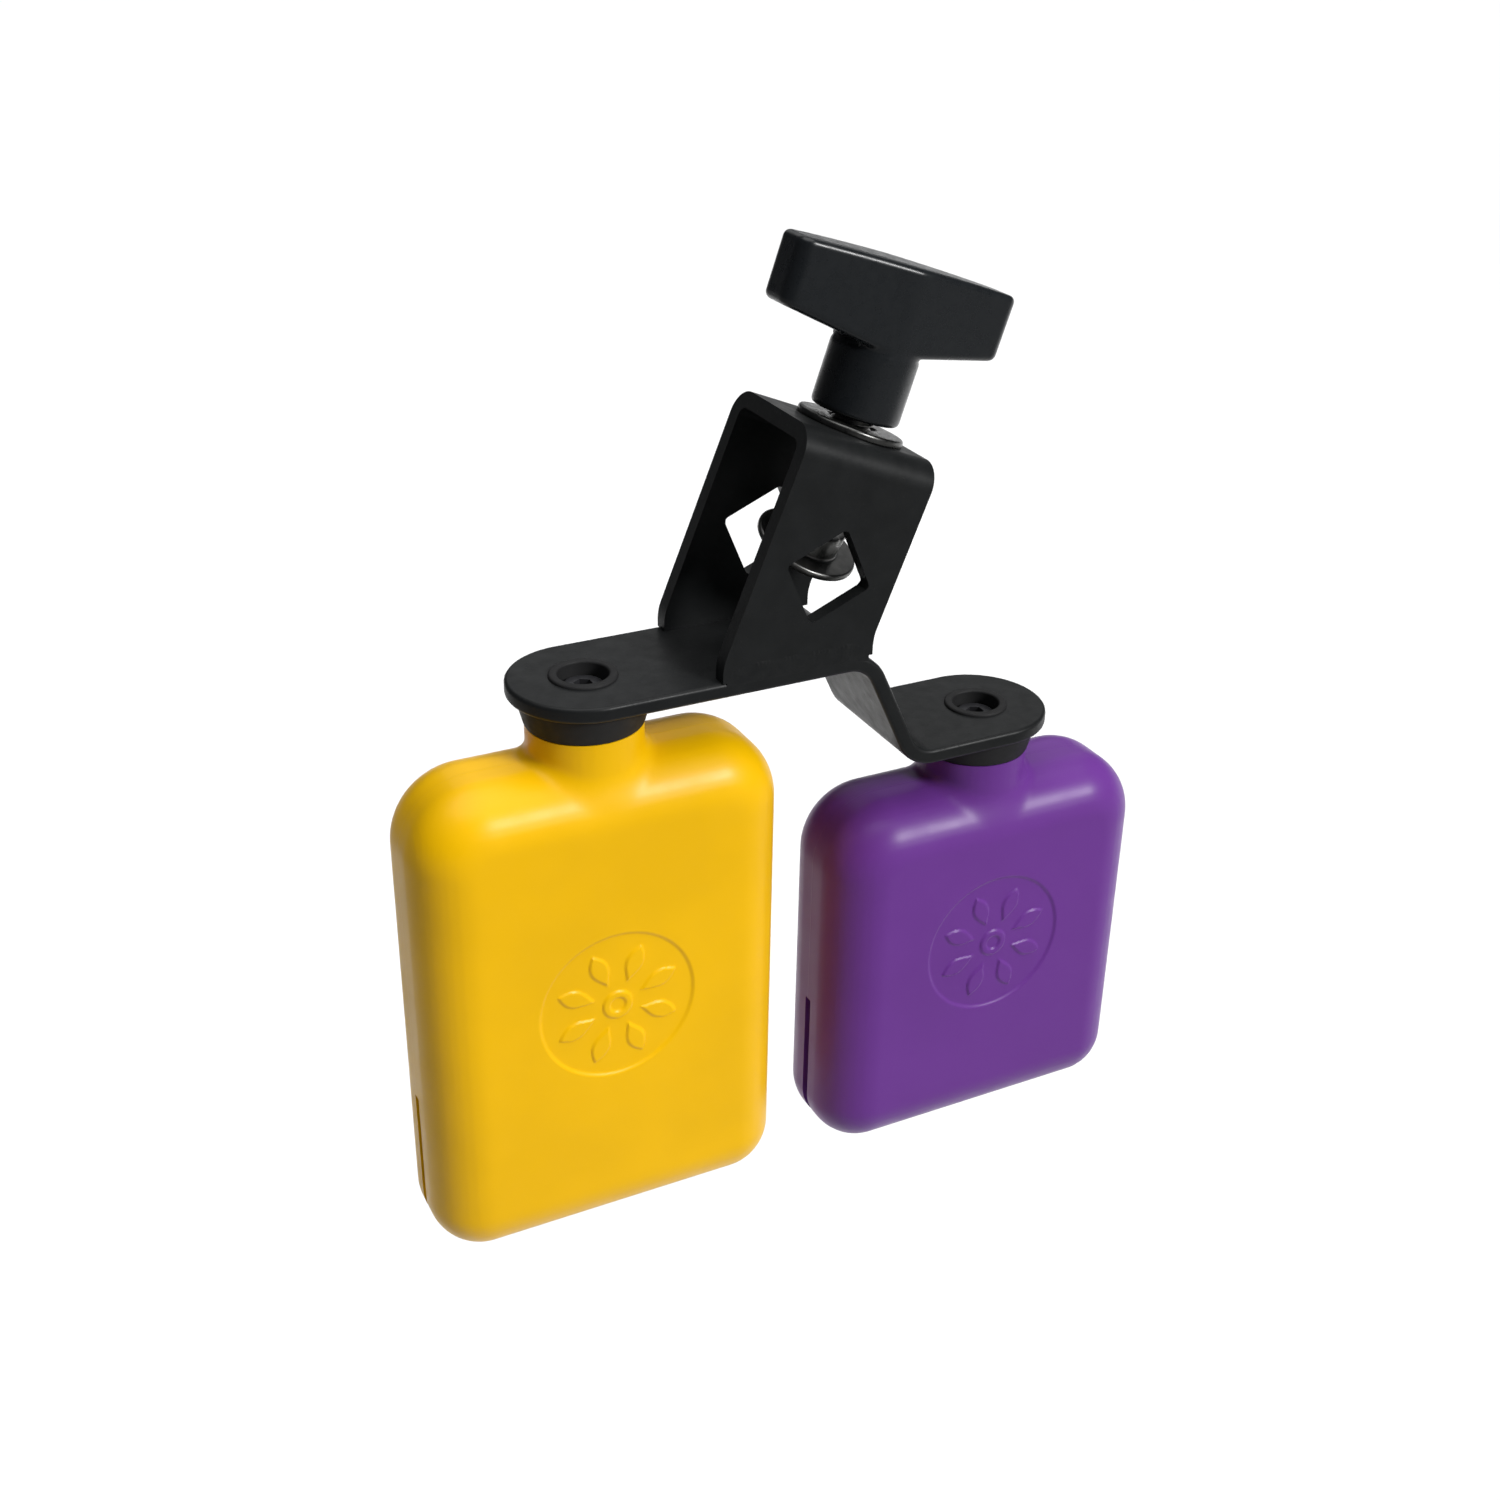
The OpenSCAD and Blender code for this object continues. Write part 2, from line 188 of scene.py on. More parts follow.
class FinishSettings(bpy.types.PropertyGroup):
    """Colours of the finishes."""

    low: colour("Low block", "Colour of the low block's plastic", (0.87, 0.485, 0.0))
    high: colour("High block", "Colour of the high block's plastic", (0.140, 0.036, 0.262))
    coat: colour("Coat", "Colour of the powder coat", (0.0086, 0.0094, 0.0097))
    knob: colour("Knob", "Colour of the knob's plastic", (0.0088, 0.0104, 0.0120))
    rubber: colour("Rubber", "Colour of the grommets", (0.015, 0.015, 0.0155))
    zinc: colour("Zinc", "Colour of the zinc plating", (0.30, 0.30, 0.29))
    floor: colour("Floor", "Colour of the floor", (0.90, 0.90, 0.90))


class BlocksSettings(bpy.types.PropertyGroup):
    """Everything the panel shows."""

    strip: PointerProperty(type=StripSettings)
    strap: PointerProperty(type=StrapSettings)
    knob: PointerProperty(type=KnobSettings)
    block: PointerProperty(type=BlockSettings)
    finish: PointerProperty(type=FinishSettings)


def settings():
    """The scene's own settings."""
    return bpy.context.scene.percussion_blocks


# ------------------------------------------------------------- shape helpers


def soften(shape, edges, radius, steps=3):
    """Rounds edges off."""
    if not edges:
        raise RuntimeError("there are no edges to round off")
    ways = {"offset_type": "OFFSET", "affect": "EDGES", "clamp_overlap": True, "material": -1}
    bmesh.ops.bevel(shape, geom=edges, offset=radius, segments=steps, profile=0.5, **ways)


def ring_edges(shape, radius, height):
    """Edges of one ring of a turned shape."""
    near = 0.004 * MM

    def on_ring(vert):
        off = math.hypot(vert.co.x, vert.co.y) - radius
        return abs(off) < near and abs(vert.co.z - height) < near

    return [edge for edge in shape.edges if all(on_ring(vert) for vert in edge.verts)]


def turned(profile, around=96, closed=True):
    """Turns a profile of (radius, height, rounding), in millimetres, about the upright axis."""
    shape = bmesh.new()
    points = [shape.verts.new((radius * MM, 0.0, height * MM)) for radius, height, _ in profile]
    edges = [shape.edges.new(pair) for pair in zip(points, points[1:])]
    if closed:
        edges.append(shape.edges.new((points[-1], points[0])))
    about = {"cent": (0.0, 0.0, 0.0), "axis": UPRIGHT, "use_merge": True}
    bmesh.ops.spin(shape, geom=points + edges, angle=math.tau, steps=around, **about)
    bmesh.ops.remove_doubles(shape, verts=shape.verts, dist=0.001 * MM)
    bmesh.ops.recalc_face_normals(shape, faces=shape.faces)
    for radius, height, rounding in profile:
        if rounding:
            soften(shape, ring_edges(shape, radius * MM, height * MM), rounding * MM)
    return shape


def quarter(radius, first, last, steps=8):
    """Profile points of an arc about the origin, from one angle in degrees to another."""
    turns = [math.radians(turn) for turn in spread(first, last, steps)]
    return [(radius * math.cos(turn), radius * math.sin(turn), 0) for turn in turns]


def bent(path, along, off):
    """Where a flat point lands once its sheet is bent along (length, turn) pieces."""
    spot = Vector((0.0, 0.0))
    heading = 0.0
    for index, (span, turn) in enumerate(path):
        last = index == len(path) - 1
        step = along if last else min(along, span)
        side = Vector((-math.sin(heading), math.cos(heading)))
        if turn:
            radius = span / turn
            heading += step / radius
            middle = spot + side * radius
            spot = middle - Vector((-math.sin(heading), math.cos(heading))) * radius
        else:
            spot = spot + Vector((math.cos(heading), math.sin(heading))) * step
        along -= step
        if along <= 0:
            break
    return spot + Vector((-math.sin(heading), math.cos(heading))) * off


def ring_of(shape, radius, where, around):
    """Adds a wire circle in the flat plane and returns its edges."""
    made = bmesh.ops.create_circle(shape, cap_ends=False, segments=around, radius=radius)
    turn = Matrix.Rotation(math.pi / around, 4, "Z") if around > 4 else Matrix.Identity(4)
    move = Matrix.Translation((where[0], where[1], 0.0)) @ turn
    bmesh.ops.transform(shape, matrix=move, verts=made["verts"])
    return list({edge for vert in made["verts"] for edge in vert.link_edges})


def everything(shape):
    """All the elements of a shape."""
    return shape.verts[:] + shape.edges[:] + shape.faces[:]


def pulled_out(shape):
    """Extrudes all the faces of an open sheet and returns the new vertices."""
    made = bmesh.ops.extrude_face_region(shape, geom=shape.faces[:])
    return [item for item in made["geom"] if isinstance(item, bmesh.types.BMVert)]


def sheet_from_wires(shape, thickness):
    """Fills the wires, holes left open, and gives the sheet its thickness."""
    bmesh.ops.triangle_fill(shape, use_beauty=True, use_dissolve=False, edges=shape.edges)
    inner = [edge for edge in shape.edges if len(edge.link_faces) == 2]
    bmesh.ops.dissolve_limit(shape, angle_limit=math.radians(1), verts=[], edges=inner)
    bmesh.ops.translate(shape, vec=(0.0, 0.0, thickness), verts=pulled_out(shape))
    bmesh.ops.translate(shape, vec=(0.0, 0.0, -thickness / 2), verts=shape.verts)
    bmesh.ops.recalc_face_normals(shape, faces=shape.faces)


def rise_of(edge):
    """How much an edge climbs."""
    return abs(edge.verts[0].co.z - edge.verts[1].co.z)


def turns_over(shape, degrees):
    """Edges where two faces meet at more than an angle."""
    return [edge for edge in shape.edges if edge.calc_face_angle(0.0) > math.radians(degrees)]


def rims(shape):
    """Sharp edges round the flat faces of a sheet."""
    return [edge for edge in turns_over(shape, 60) if rise_of(edge) < 0.01 * MM]


def uprights(shape, degrees):
    """Edges across a sheet's thickness where its outline turns by more than an angle."""
    return [edge for edge in turns_over(shape, degrees) if rise_of(edge) > 1 * MM]


def sliced(shape, normal, stations):
    """Adds cuts across a shape at the given distances."""
    for station in stations:
        spot = Vector(normal) * station
        bmesh.ops.bisect_plane(shape, geom=everything(shape), plane_co=spot, plane_no=normal)


def cut_level(shape, spot, side=1.0):
    """Cuts off what lies above a point, or below it where side is -1, and closes the cut."""
    plane = {"plane_co": spot, "plane_no": UPRIGHT * side}
    cut = bmesh.ops.bisect_plane(shape, geom=everything(shape), clear_outer=True, **plane)
    rim = [item for item in cut["geom_cut"] if isinstance(item, bmesh.types.BMEdge)]
    bmesh.ops.edgeloop_fill(shape, edges=rim)


def spread(first, last, count):
    """Evenly spaced numbers, both ends in."""
    return [first + (last - first) * i / count for i in range(count + 1)]


def box_shape(low, high):
    """A plain box between two corners."""
    shape = bmesh.new()
    low = Vector(low)
    high = Vector(high)
    size = high - low
    move = Matrix.Translation((low + high) / 2) @ Matrix.Diagonal((*size, 1.0))
    bmesh.ops.create_cube(shape, size=1.0, matrix=move)
    return shape


def rod_shape(radius, low, high, around=64):
    """An upright rod between two heights."""
    shape = bmesh.new()
    size = {"radius1": radius, "radius2": radius, "depth": high - low}
    move = Matrix.Translation((0.0, 0.0, (low + high) / 2))
    bmesh.ops.create_cone(shape, cap_ends=True, segments=around, matrix=move, **size)
    return shape


def joined(first, second):
    """Adds the second shape to the first one."""
    mesh = bpy.data.meshes.new("joined")
    second.to_mesh(mesh)
    second.free()
    first.from_mesh(mesh)
    bpy.data.meshes.remove(mesh)
    return first


def loose(name, shape):
    """An object made from a shape, before it is a finished piece."""
    mesh = bpy.data.meshes.new(name)
    shape.to_mesh(mesh)
    shape.free()
    if not mesh.polygons:
        raise RuntimeError(f"{name} came out empty")
    made = bpy.data.objects.new(name, mesh)
    bpy.context.collection.objects.link(made)
    return made


def drop(thing):
    """Removes an object and its mesh."""
    mesh = thing.data
    bpy.data.objects.remove(thing)
    bpy.data.meshes.remove(mesh)


def worked(thing):
    """The shape that an object's modifiers give; the object itself is dropped."""
    name = thing.name
    made = bmesh.new()
    made.from_object(thing, bpy.context.evaluated_depsgraph_get())
    drop(thing)
    if not made.faces:
        raise RuntimeError(f"nothing was left of {name}")
    return made


def even_cells(shape, cell):
    """Covers a rough shape with small even cells."""
    rough = loose("rough", shape)
    cover = rough.modifiers.new("Cells", "REMESH")
    cover.mode = "VOXEL"
    cover.voxel_size = cell
    return worked(rough)


def carved(thing, cutters):
    """Cuts closed shapes out of an object."""
    tools = []
    for index, cutter in enumerate(cutters):
        tool = loose(f"cutter_{index}", cutter)
        cut = thing.modifiers.new(tool.name, "BOOLEAN")
        cut.operation = "DIFFERENCE"
        cut.solver = "MANIFOLD"
        cut.object = tool
        tools.append(tool)
    made = worked(thing)
    for tool in tools:
        drop(tool)
    return made


# ------------------------------------------------------------- field helpers


def round_meet(first, second, radius):
    """Common part of two fields, with its edge rounded."""
    a = first + radius
    b = second + radius
    inner = np.minimum(np.maximum(a, b), 0.0)
    return inner + np.hypot(np.maximum(a, 0.0), np.maximum(b, 0.0)) - radius


def round_join(first, second, radius):
    """Union of two fields, with a fillet between them."""
    a = np.maximum(radius - first, 0.0)
    b = np.maximum(radius - second, 0.0)
    return np.maximum(radius, np.minimum(first, second)) - np.hypot(a, b)


def settle(points, field, rounds=5):
    """Moves points along a field's slope until they lie on its surface."""
    step = 0.02 * MM
    for _ in range(rounds):
        slope = np.empty_like(points)
        for side in range(3):
            shift = np.zeros(3)
            shift[side] = step
            slope[:, side] = (field(points + shift) - field(points - shift)) / (2 * step)
        strength = np.maximum((slope * slope).sum(axis=1), 0.05)
        points = points - slope * (field(points) / strength)[:, None]
    return points


def settle_shape(shape, field, relief=None):
    """Settles a shape's vertices onto a field, then shifts them by a relief."""
    points = np.array([vert.co for vert in shape.verts])
    points = settle(points, field)
    if relief:
        points = relief(points)
    for vert, spot in zip(shape.verts, points):
        vert.co = spot


# ----------------------------------------------------------------- materials


class Finish:
    """A material under construction, on the piece's own coordinates."""

    def __init__(self, name, base, roughness, metallic=0.0, specular=0.5):
        self.material = bpy.data.materials.new(name)
        self.material.use_nodes = True
        self.tree = self.material.node_tree
        self.shader = self.tree.nodes["Principled BSDF"]
        self.shader.inputs["Base Color"].default_value = (*base, 1.0)
        self.shader.inputs["Roughness"].default_value = roughness
        self.shader.inputs["Metallic"].default_value = metallic
        self.shader.inputs["Specular IOR Level"].default_value = specular
        self.spot = self.tree.nodes.new("ShaderNodeTexCoord").outputs["Object"]
        self.normal = None

    def put(self, socket, value):
        """Links an output, or sets a number."""
        if isinstance(value, bpy.types.NodeSocket):
            self.tree.links.new(value, socket)
        else:
            socket.default_value = value

    def noise(self, size, detail=2.0, stretch=None):
        """Cloudy noise whose features have about the given size."""
        where = self.spot
        if stretch:
            mapping = self.tree.nodes.new("ShaderNodeMapping")
            mapping.inputs["Scale"].default_value = stretch
            self.put(mapping.inputs["Vector"], where)
            where = mapping.outputs["Vector"]
        made = self.tree.nodes.new("ShaderNodeTexNoise")
        made.inputs["Scale"].default_value = 1.0 / size
        made.inputs["Detail"].default_value = detail
        self.put(made.inputs["Vector"], where)
        return made.outputs[0]

    def span(self, value, first, last, low, high):
        """Maps a value's range onto another one."""
        made = self.tree.nodes.new("ShaderNodeMapRange")
        self.put(made.inputs["Value"], value)
        made.inputs["From Min"].default_value = first
        made.inputs["From Max"].default_value = last
        made.inputs["To Min"].default_value = low
        made.inputs["To Max"].default_value = high
        return made.outputs["Result"]

    def sums(self, kind, first, second=0.0):
        """One arithmetic step."""
        made = self.tree.nodes.new("ShaderNodeMath")
        made.operation = kind
        self.put(made.inputs[0], first)
        self.put(made.inputs[1], second)
        return made.outputs[0]

    def parts(self):
        """The x, y and z of the surface's own coordinates."""
        apart = self.tree.nodes.new("ShaderNodeSeparateXYZ")
        self.put(apart.inputs[0], self.spot)
        return apart.outputs[:]

    def tint(self, factor, first, second):
        """Base colour between two colours."""
        made = self.tree.nodes.new("ShaderNodeMix")
        made.data_type = "RGBA"
        self.put(made.inputs[0], factor)
        made.inputs[6].default_value = (*first, 1.0)
        made.inputs[7].default_value = (*second, 1.0)
        self.put(self.shader.inputs["Base Color"], made.outputs[2])

    def cloudy(self, base, size, detail, low, high):
        """Base colour that drifts between a darker and a lighter shade."""
        drift = self.span(self.noise(size, detail), 0.35, 0.65, 0.0, 1.0)
        self.tint(drift, scaled(base, low), scaled(base, high))

    def rough(self, factor, low, high):
        """Roughness that follows a noise."""
        self.put(self.shader.inputs["Roughness"], self.span(factor, 0.3, 0.7, low, high))

    def bump(self, height, depth, strength=1.0):
        """Adds a bump of the given depth."""
        made = self.tree.nodes.new("ShaderNodeBump")
        made.inputs["Strength"].default_value = strength
        made.inputs["Distance"].default_value = depth
        self.put(made.inputs["Height"], height)
        if self.normal:
            self.put(made.inputs["Normal"], self.normal)
        self.normal = made.outputs["Normal"]
        self.put(self.shader.inputs["Normal"], self.normal)

    def vectors(self, kind, first, second=None):
        """One step of vector arithmetic."""
        made = self.tree.nodes.new("ShaderNodeVectorMath")
        made.operation = kind
        self.put(made.inputs[0], first)
        if second is not None:
            made.inputs[1].default_value = second
        return made.outputs

    def from_axis(self, point, axis):
        """Distance from an axis."""
        across = self.vectors("CROSS_PRODUCT", self.vectors("SUBTRACT", self.spot, point)[0], axis)
        return self.vectors("LENGTH", across[0])["Value"]

    def rings(self, point, axis, size):
        """Noise in rings about an axis."""
        made = self.tree.nodes.new("ShaderNodeTexNoise")
        made.noise_dimensions = "1D"
        made.inputs["Scale"].default_value = 1.0 / size
        made.inputs["Detail"].default_value = 2.0
        self.put(made.inputs["W"], self.from_axis(point, axis))
        return made.outputs[0]


def scaled(base, factor):
    """A colour made lighter or darker."""
    return tuple(min(1.0, part * factor) for part in base)


def block_plastic(name, base):
    """Satin moulded plastic with a fine grain and a faint parting line."""
    made = Finish(name, base, 0.36, specular=0.24)
    made.cloudy(base, 24 * MM, 2.0, 0.965, 1.03)
    made.rough(made.noise(7 * MM, 3.0), 0.32, 0.40)
    made.bump(made.noise(0.35 * MM, 3.0), 0.012 * MM, 0.7)
    made.bump(made.noise(9 * MM, 1.0), 0.08 * MM, 0.25)
    seam = made.span(made.sums("ABSOLUTE", made.parts()[1]), 0.0, 0.16 * MM, 1.0, 0.0)
    made.bump(seam, 0.05 * MM, 0.5)
    return made.material


def powder_coat():
    """Satin black powder coat with orange peel and a few specks."""
    base = settings().finish.coat
    made = Finish("powder_coat", base, 0.42, specular=0.2)
    made.cloudy(base, 5 * MM, 3.0, 0.9, 1.12)
    made.rough(made.noise(3 * MM, 3.0), 0.36, 0.47)
    made.bump(made.noise(0.9 * MM, 2.0), 0.03 * MM, 0.55)
    speck = made.span(made.noise(0.5 * MM, 1.0), 0.70, 0.78, 0.0, 1.0)
    made.bump(speck, 0.04 * MM, 0.6)
    return made.material


def weld_coat():
    """The coat over the rougher weld."""
    base = settings().finish.coat
    made = Finish("coated_weld", base, 0.38, specular=0.22)
    made.rough(made.noise(1.5 * MM, 3.0), 0.30, 0.48)
    made.bump(made.noise(2.5 * MM, 3.0), 0.22 * MM, 0.6)
    return made.material


def knob_plastic():
    """Glossy black plastic with faint scratches."""
    made = Finish("knob_plastic", settings().finish.knob, 0.28, specular=0.35)
    made.rough(made.noise(2 * MM, 4.0), 0.24, 0.34)
    made.bump(made.noise(6 * MM, 1.0), 0.05 * MM, 0.3)
    scratch = made.span(made.noise(0.4 * MM, 3.0, (0.05, 1.0, 1.0)), 0.66, 0.70, 0.0, 1.0)
    made.bump(scratch, 0.003 * MM, 0.4)
    return made.material


def rubber():
    """Matte black rubber."""
    made = Finish("soft_rubber", settings().finish.rubber, 0.62, specular=0.2)
    made.rough(made.noise(2 * MM, 3.0), 0.55, 0.70)
    made.bump(made.noise(0.3 * MM, 3.0), 0.012 * MM, 0.6)
    return made.material


def turned_steel(name, base, roughness, point, axis):
    """Plated steel with fine turning rings."""
    made = Finish(name, base, roughness, 1.0)
    made.cloudy(base, 3 * MM, 3.0, 0.86, 1.06)
    made.rough(made.noise(1.2 * MM, 3.0), roughness - 0.06, roughness + 0.08)
    made.bump(made.rings(point, axis, 0.18 * MM), 0.006 * MM, 0.6)
    return made.material


def plain_finish(name, base, roughness, metallic, grain):
    """A finish for small pieces, with a little grain."""
    made = Finish(name, base, roughness, metallic)
    made.cloudy(base, 2 * MM, 2.0, 0.93, 1.05)
    made.rough(made.noise(1 * MM, 3.0), roughness - 0.05, roughness + 0.07)
    made.bump(made.noise(grain, 3.0), 0.01 * MM, 0.5)
    return made.material


# -------------------------------------------------------------------- pieces


def finish_piece(name, shape, body, nodes, material, place=None):
    """Makes a shape the finished piece that stands for some CAD nodes."""
    if place:
        bmesh.ops.transform(shape, matrix=place, verts=shape.verts)
    bmesh.ops.recalc_face_normals(shape, faces=shape.faces)
    piece = loose(name, shape)
    piece.data.materials.clear()
    piece.data.materials.append(material)
    piece.data.shade_smooth()
    piece.data.set_sharp_from_angle(angle=math.radians(38))
    even = piece.modifiers.new("Normals", "WEIGHTED_NORMAL")
    even.keep_sharp = True
    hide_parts(*nodes)
    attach(piece, body)
    return piece


def dress_node(node, material):
    """Puts a finish on a CAD node that is kept as it is."""
    thing = bpy.data.objects[node]
    if not thing.data.materials:
        thing.data.materials.append(material)
    for part in thing.material_slots:
        part.material = material


def plate_top(axis):
    """Middle of a grommet hole on the strip's top face."""
    strip = settings().strip
    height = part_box("bracket_strip")[1].z
    if axis is HIGH_AXIS:
        height -= strip.drop
    return Vector((axis.x, 0.0, height))


def strap_up():
    """Direction of the strap's lean."""
    lean = settings().strap.lean
    return Vector((math.sin(lean), 0.0, math.cos(lean)))


def strap_across():
    """Direction across the strap's lean."""
    lean = settings().strap.lean
    return Vector((math.cos(lean), 0.0, -math.sin(lean)))


def nut_offset():
    """How far off the strap's centre line the screw passes through its top."""
    rise = settings().strap.top - BALL.dot(strap_up())
    spot = BALL + SCREW_AXIS * (rise / SCREW_AXIS.dot(strap_up()))
    return spot.dot(strap_across())


def strip_shape():
    """The stepped strip with its round ends and two holes."""
    strip = settings().strip
    tangent = strip.bend * math.tan(strip.slope / 2)
    arc = strip.bend * strip.slope
    ramp = strip.drop / math.sin(strip.slope) - 2 * tangent
    first = strip.step - tangent
    last = strip.gap - strip.step - strip.drop / math.tan(strip.slope) - tangent
    path = [(first, 0.0), (arc, -strip.slope), (ramp, 0.0), (arc, strip.slope), (last, 0.0)]
    flat = first + arc + ramp + arc + last
    shape = bmesh.new()
    outline = ring_of(shape, strip.width / 2, (0.0, 0.0), 128)
    for vert in {vert for edge in outline for vert in edge.verts}:
        if vert.co.x > 0:
            vert.co.x += flat
    ring_of(shape, strip.hole, (0.0, 0.0), 64)
    ring_of(shape, strip.hole, (flat, 0.0), 64)
    sheet_from_wires(shape, strip.thickness)
    soften(shape, rims(shape), strip.edge, 4)
    cuts = spread(first, first + arc, 14) + spread(flat - last - arc, flat - last, 14)
    sliced(shape, (1.0, 0.0, 0.0), cuts)
    start = plate_top(LOW_AXIS) - UPRIGHT * strip.thickness / 2
    for vert in shape.verts:
        spot = bent(path, vert.co.x, vert.co.z)
        vert.co = start + Vector((spot.x, vert.co.y, spot.y))
    return shape


def leg_corners():
    """Outline of one leg, as (across, along the sheet) pairs."""
    strip = settings().strip
    strap = settings().strap
    floor = plate_top(LOW_AXIS)
    half = strip.width / 2
    left = floor.x + (strap.offset - half) / math.cos(strap.lean) + strap.ear * math.tan(strap.lean)
    right = left + strip.width / math.cos(strap.lean)
    fold = half + strap.bend * (math.pi / 2 - 1) - strip.thickness / 2
    reach = fold + strap.top - strip.thickness / 2
    corners = []
    for x, z in ((left, strap.ear), (left, 0.0), (right, 0.0), (right, strap.ear)):
        spot = Vector((x, 0.0, floor.z + z))
        corners.append((spot.dot(strap_across()), reach - strap.bend - spot.dot(strap_up())))
    return corners, reach - strap.bend


def strap_shape():
    """The U strap: a flat pattern with three holes, bent over twice."""
    strip = settings().strip
    strap = settings().strap
    corners, middle = leg_corners()
    shape = bmesh.new()
    around = corners + [(across, -along) for across, along in reversed(corners)]
    points = [shape.verts.new((across, along, 0.0)) for across, along in around]
    for pair in zip(points, points[1:] + points[:1]):
        shape.edges.new(pair)
    for side in (-1, 1):
        ring_of(shape, strap.diamond / math.sqrt(2), (0.0, side * middle), 4)
    ring_of(shape, NUT_BARREL * MM, (nut_offset(), 0.0), 64)
    sheet_from_wires(shape, strip.thickness)
    corner_edges = [edge for edge in uprights(shape, 80) if abs(edge.verts[0].co.x) < 11 * MM]
    half = strip.width / 2
    kink_edges = [edge for edge in uprights(shape, 15) if abs(abs(edge.verts[0].co.x) - half) < 0.1 * MM]
    soften(shape, corner_edges, strap.corner, 5)
    soften(shape, [edge for edge in kink_edges if edge.is_valid], strap.kink, 4)
    soften(shape, rims(shape), strap.edge, 4)
    straight = half - strap.bend - strip.thickness / 2
    arc = strap.bend * math.pi / 2
    cuts = spread(straight, straight + arc, 14)
    sliced(shape, (0.0, 1.0, 0.0), cuts + [-cut for cut in cuts])
    path = [(straight, 0.0), (arc, -math.pi / 2), (100 * MM, 0.0)]
    height = strap.top - strip.thickness / 2
    for vert in shape.verts:
        side = 1.0 if vert.co.y >= 0 else -1.0
        spot = bent(path, abs(vert.co.y), vert.co.z)
        vert.co = (
            strap_across() * vert.co.x + strap_up() * (height + spot.y) + Vector((0.0, side * spot.x, 0.0))
        )
    return shape


def bead_shape(side):
    """A rippled weld bead along the outside of one leg."""
    strip = settings().strip
    strap = settings().strap
    chance = random.Random(7 + side)
    low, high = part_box("front_weld_bead" if side < 0 else "back_weld_bead")
    waves = [(chance.uniform(40, 260), chance.uniform(0, 6.3), chance.uniform(0.3, 1.0)) for _ in range(7)]
    shape = bmesh.new()
    bmesh.ops.create_grid(shape, x_segments=150, y_segments=14, size=0.5)
    for vert in shape.verts:
        along = vert.co.x + 0.5
        up = vert.co.y + 0.5
        ragged = sum(size * math.sin(rate * along + start) for rate, start, size in waves) / 7
        ends = min(1.0, 10 * along, 10 * (1 - along))
        top = high.z + (0.25 * ragged - 0.25) * MM - (1 - ends) * 1.5 * MM
        bulge = strap.bead * math.sin(math.pi * up) ** 0.9 * (0.9 + 0.1 * ragged)
        crest = max(0.0, 1 - abs(up - 0.86) / 0.09) * max(0.0, math.sin(31 * along + 4 * ragged))
        bulge += 0.13 * MM * crest
        x = low.x + along * (high.x - low.x)
        z = low.z + up * (top - low.z)
        vert.co = (x, side * (strip.width / 2 - 0.05 * MM + bulge * (0.35 + 0.65 * ends)), z)
    for vert in pulled_out(shape):
        vert.co.y = side * (strip.width / 2 - 0.8 * MM)
    return shape


def nut_shape():
    """Flanged bush, about its own axis."""
    top = settings().strap.top / MM
    barrel = [(4.27, top - 4.6, 0), (NUT_BARREL, top - 4.6, 0.3), (NUT_BARREL, top, 0)]
    flange = [(10.0, top, 0.25), (10.0, top + 1.4, 0.55), (4.9, top + 1.4, 0.1), (4.27, top + 0.9, 0)]
    return turned(barrel + flange, 128)


def thread_shape(low, high, root, crest, pitch):
    """A closed length of helical thread, in millimetres."""
    shape = bmesh.new()
    turns = math.ceil((high - low) / pitch) + 3
    outline = [(root, 0.0), (crest, 0.42 * pitch), (crest, 0.58 * pitch), (root, pitch)]
    points = [shape.verts.new((radius * MM, 0.0, (low - pitch + up) * MM)) for radius, up in outline]
    edges = [shape.edges.new(pair) for pair in zip(points, points[1:])]
    around = 40
    climb = {"dvec": UPRIGHT * (pitch * MM / around), "angle": math.tau * turns, "steps": around * turns}
    bmesh.ops.spin(shape, geom=points + edges, cent=(0.0, 0.0, 0.0), axis=UPRIGHT, **climb)
    bmesh.ops.remove_doubles(shape, verts=shape.verts, dist=0.002 * MM)
    cut_level(shape, UPRIGHT * low * MM, -1.0)
    cut_level(shape, UPRIGHT * high * MM)
    bmesh.ops.recalc_face_normals(shape, faces=shape.faces)
    return shape


def screw_shape():
    """Ball, neck and thread of the clamp screw, about the ball's centre."""
    boss = settings().knob.low / MM
    start = BALL.dot(SCREW_AXIS) / MM
    ball = quarter(3.0, -90, 45, 14)
    stem = turned([*ball, (2.1, 2.142, 0), (2.1, 7.6, 0), (0.0, 7.6, 0)], 48, closed=False)
    thread = thread_shape(low=6.4, high=boss + 9.5 - start, root=3.35, crest=3.97, pitch=SCREW_PITCH)
    return joined(thread, stem)


def knob_field(points):
    """Distance-like field of the knob, in the screw's own axes."""
    knob = settings().knob
    across, depth, up = points.T
    reach = np.sqrt(across * across + (0.6 * MM) ** 2)
    share = np.minimum(reach / knob.half, 1.2)
    rise = (up - knob.wing) / (knob.top - knob.wing)
    ridge = knob.ridge_low + (knob.ridge_top - knob.ridge_low) * np.clip(rise, 0.0, 1.0)
    side = np.abs(depth) - (knob.tip_depth * share + ridge * (1 - share))
    plan = round_meet(np.abs(across) - knob.half, side, knob.tip_round)
    top = up - (knob.top - knob.crown * share * share)
    foot = knob.wing + (knob.tip - knob.wing) * share - up
    wings = round_meet(plan, np.maximum(top, foot), knob.edge)
    radial = np.hypot(across, depth) - knob.boss
    boss = round_meet(radial, knob.low - up, 0.9 * MM)
    boss = round_meet(boss, up - knob.wing - 0.6 * MM, 1.2 * MM)
    return round_join(wings, boss, knob.fillet)


